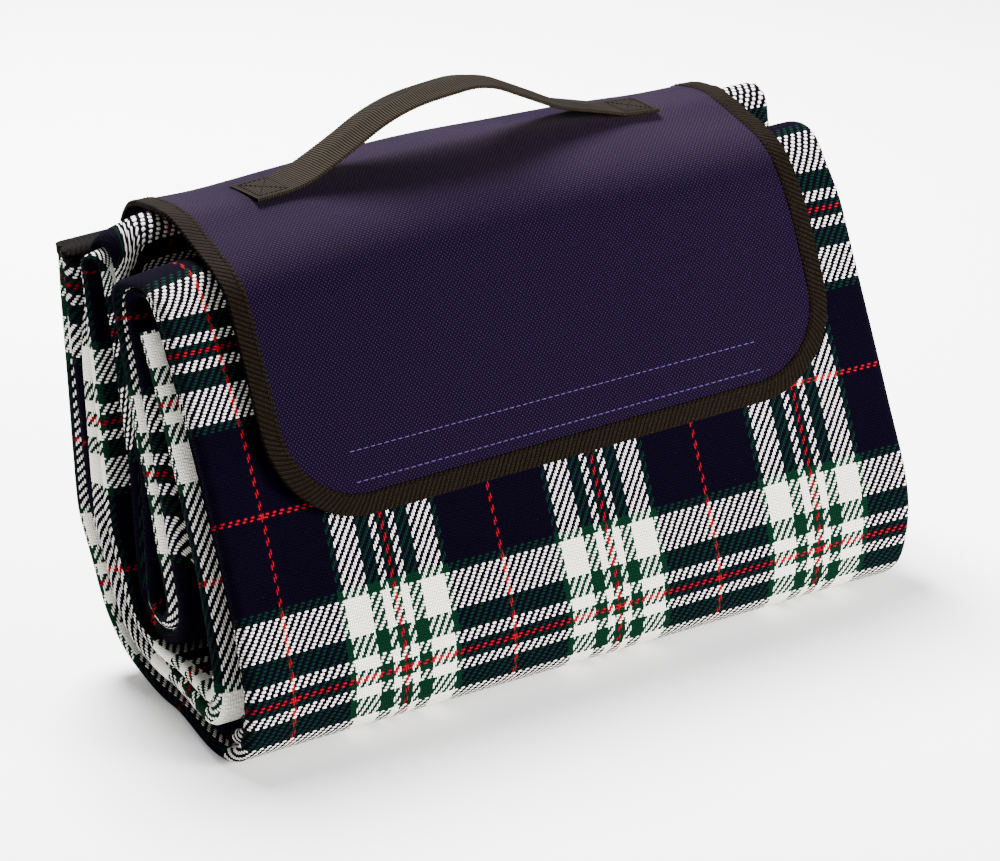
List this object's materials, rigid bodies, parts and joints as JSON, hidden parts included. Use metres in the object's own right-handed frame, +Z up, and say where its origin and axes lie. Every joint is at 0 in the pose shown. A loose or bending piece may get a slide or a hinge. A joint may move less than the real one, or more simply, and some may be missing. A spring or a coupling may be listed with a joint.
{
  "type": "camp blanket",
  "caption": "Folded tartan picnic blanket with a wrap-over flap, hook and loop fastener and webbing carry handle.",
  "frame": {"origin": "middle of the footprint of the standing pack, on the floor", "axes": "+X along the pack's length towards its single-fold end, +Y to the back, +Z up; the flap closes down the front, which faces -Y"},
  "size_m": [0.375, 0.164, 0.2508],
  "materials": {
    "tartan": "soft 2/2 twill tartan in navy, green, white and red",
    "foam": "matt foam and wadding",
    "backing": "coated waterproof film",
    "hem_tape": "black woven hem tape",
    "flap_cloth": "navy Oxford weave",
    "lining": "plain coated lining",
    "binding_tape": "dark brown herringbone tape",
    "webbing": "dark brown ribbed webbing",
    "fastener_tape": "hook and loop tape",
    "lilac_thread": "sewing thread",
    "dark_thread": "sewing thread"
  },
  "bodies": {
    "blanket": {"tartan_cloth": "tartan", "foam_interlayer": "foam", "waterproof_backing": "backing", "side_hem_binding": "hem_tape", "end_hem_binding": "hem_tape", "loop_tape": "fastener_tape", "loop_tape_stitching": "dark_thread", "flap_rear_hem": "flap_cloth", "flap_seam_stitching": "lilac_thread"},
    "flap_top": {"flap_lining_top": "lining", "flap_outer_top": "flap_cloth", "flap_binding_top": "binding_tape", "binding_stitching_top": "dark_thread", "handle_end_left": "webbing", "handle_end_right": "webbing", "handle_stitching_left": "dark_thread", "handle_stitching_right": "dark_thread"},
    "flap_front": {"flap_lining_front": "lining", "flap_outer_front": "flap_cloth", "flap_binding_front": "binding_tape", "binding_stitching_front": "dark_thread", "hook_tape": "fastener_tape", "hook_tape_stitching": "lilac_thread"},
    "handle": {"handle_strap": "webbing"}
  },
  "joints": [
    {"name": "flap_rear_seam", "type": "hinge", "parent": "blanket", "child": "flap_top", "pos_m": [0, 0.0825, 0.2035], "axis": [-1, 0, 0], "range_deg": [0, 180]},
    {"name": "flap_crest_bend", "type": "hinge", "parent": "flap_top", "child": "flap_front", "pos_m": [0, 0.0015, 0.21301], "axis": [-1, 0, 0], "range_deg": [0, 110]},
    {"name": "handle_tip", "type": "hinge", "parent": "flap_top", "child": "handle", "pos_m": [0, 0.0398, 0.227], "axis": [1, 0, 0], "range_deg": [-45, 45]}
  ]
}
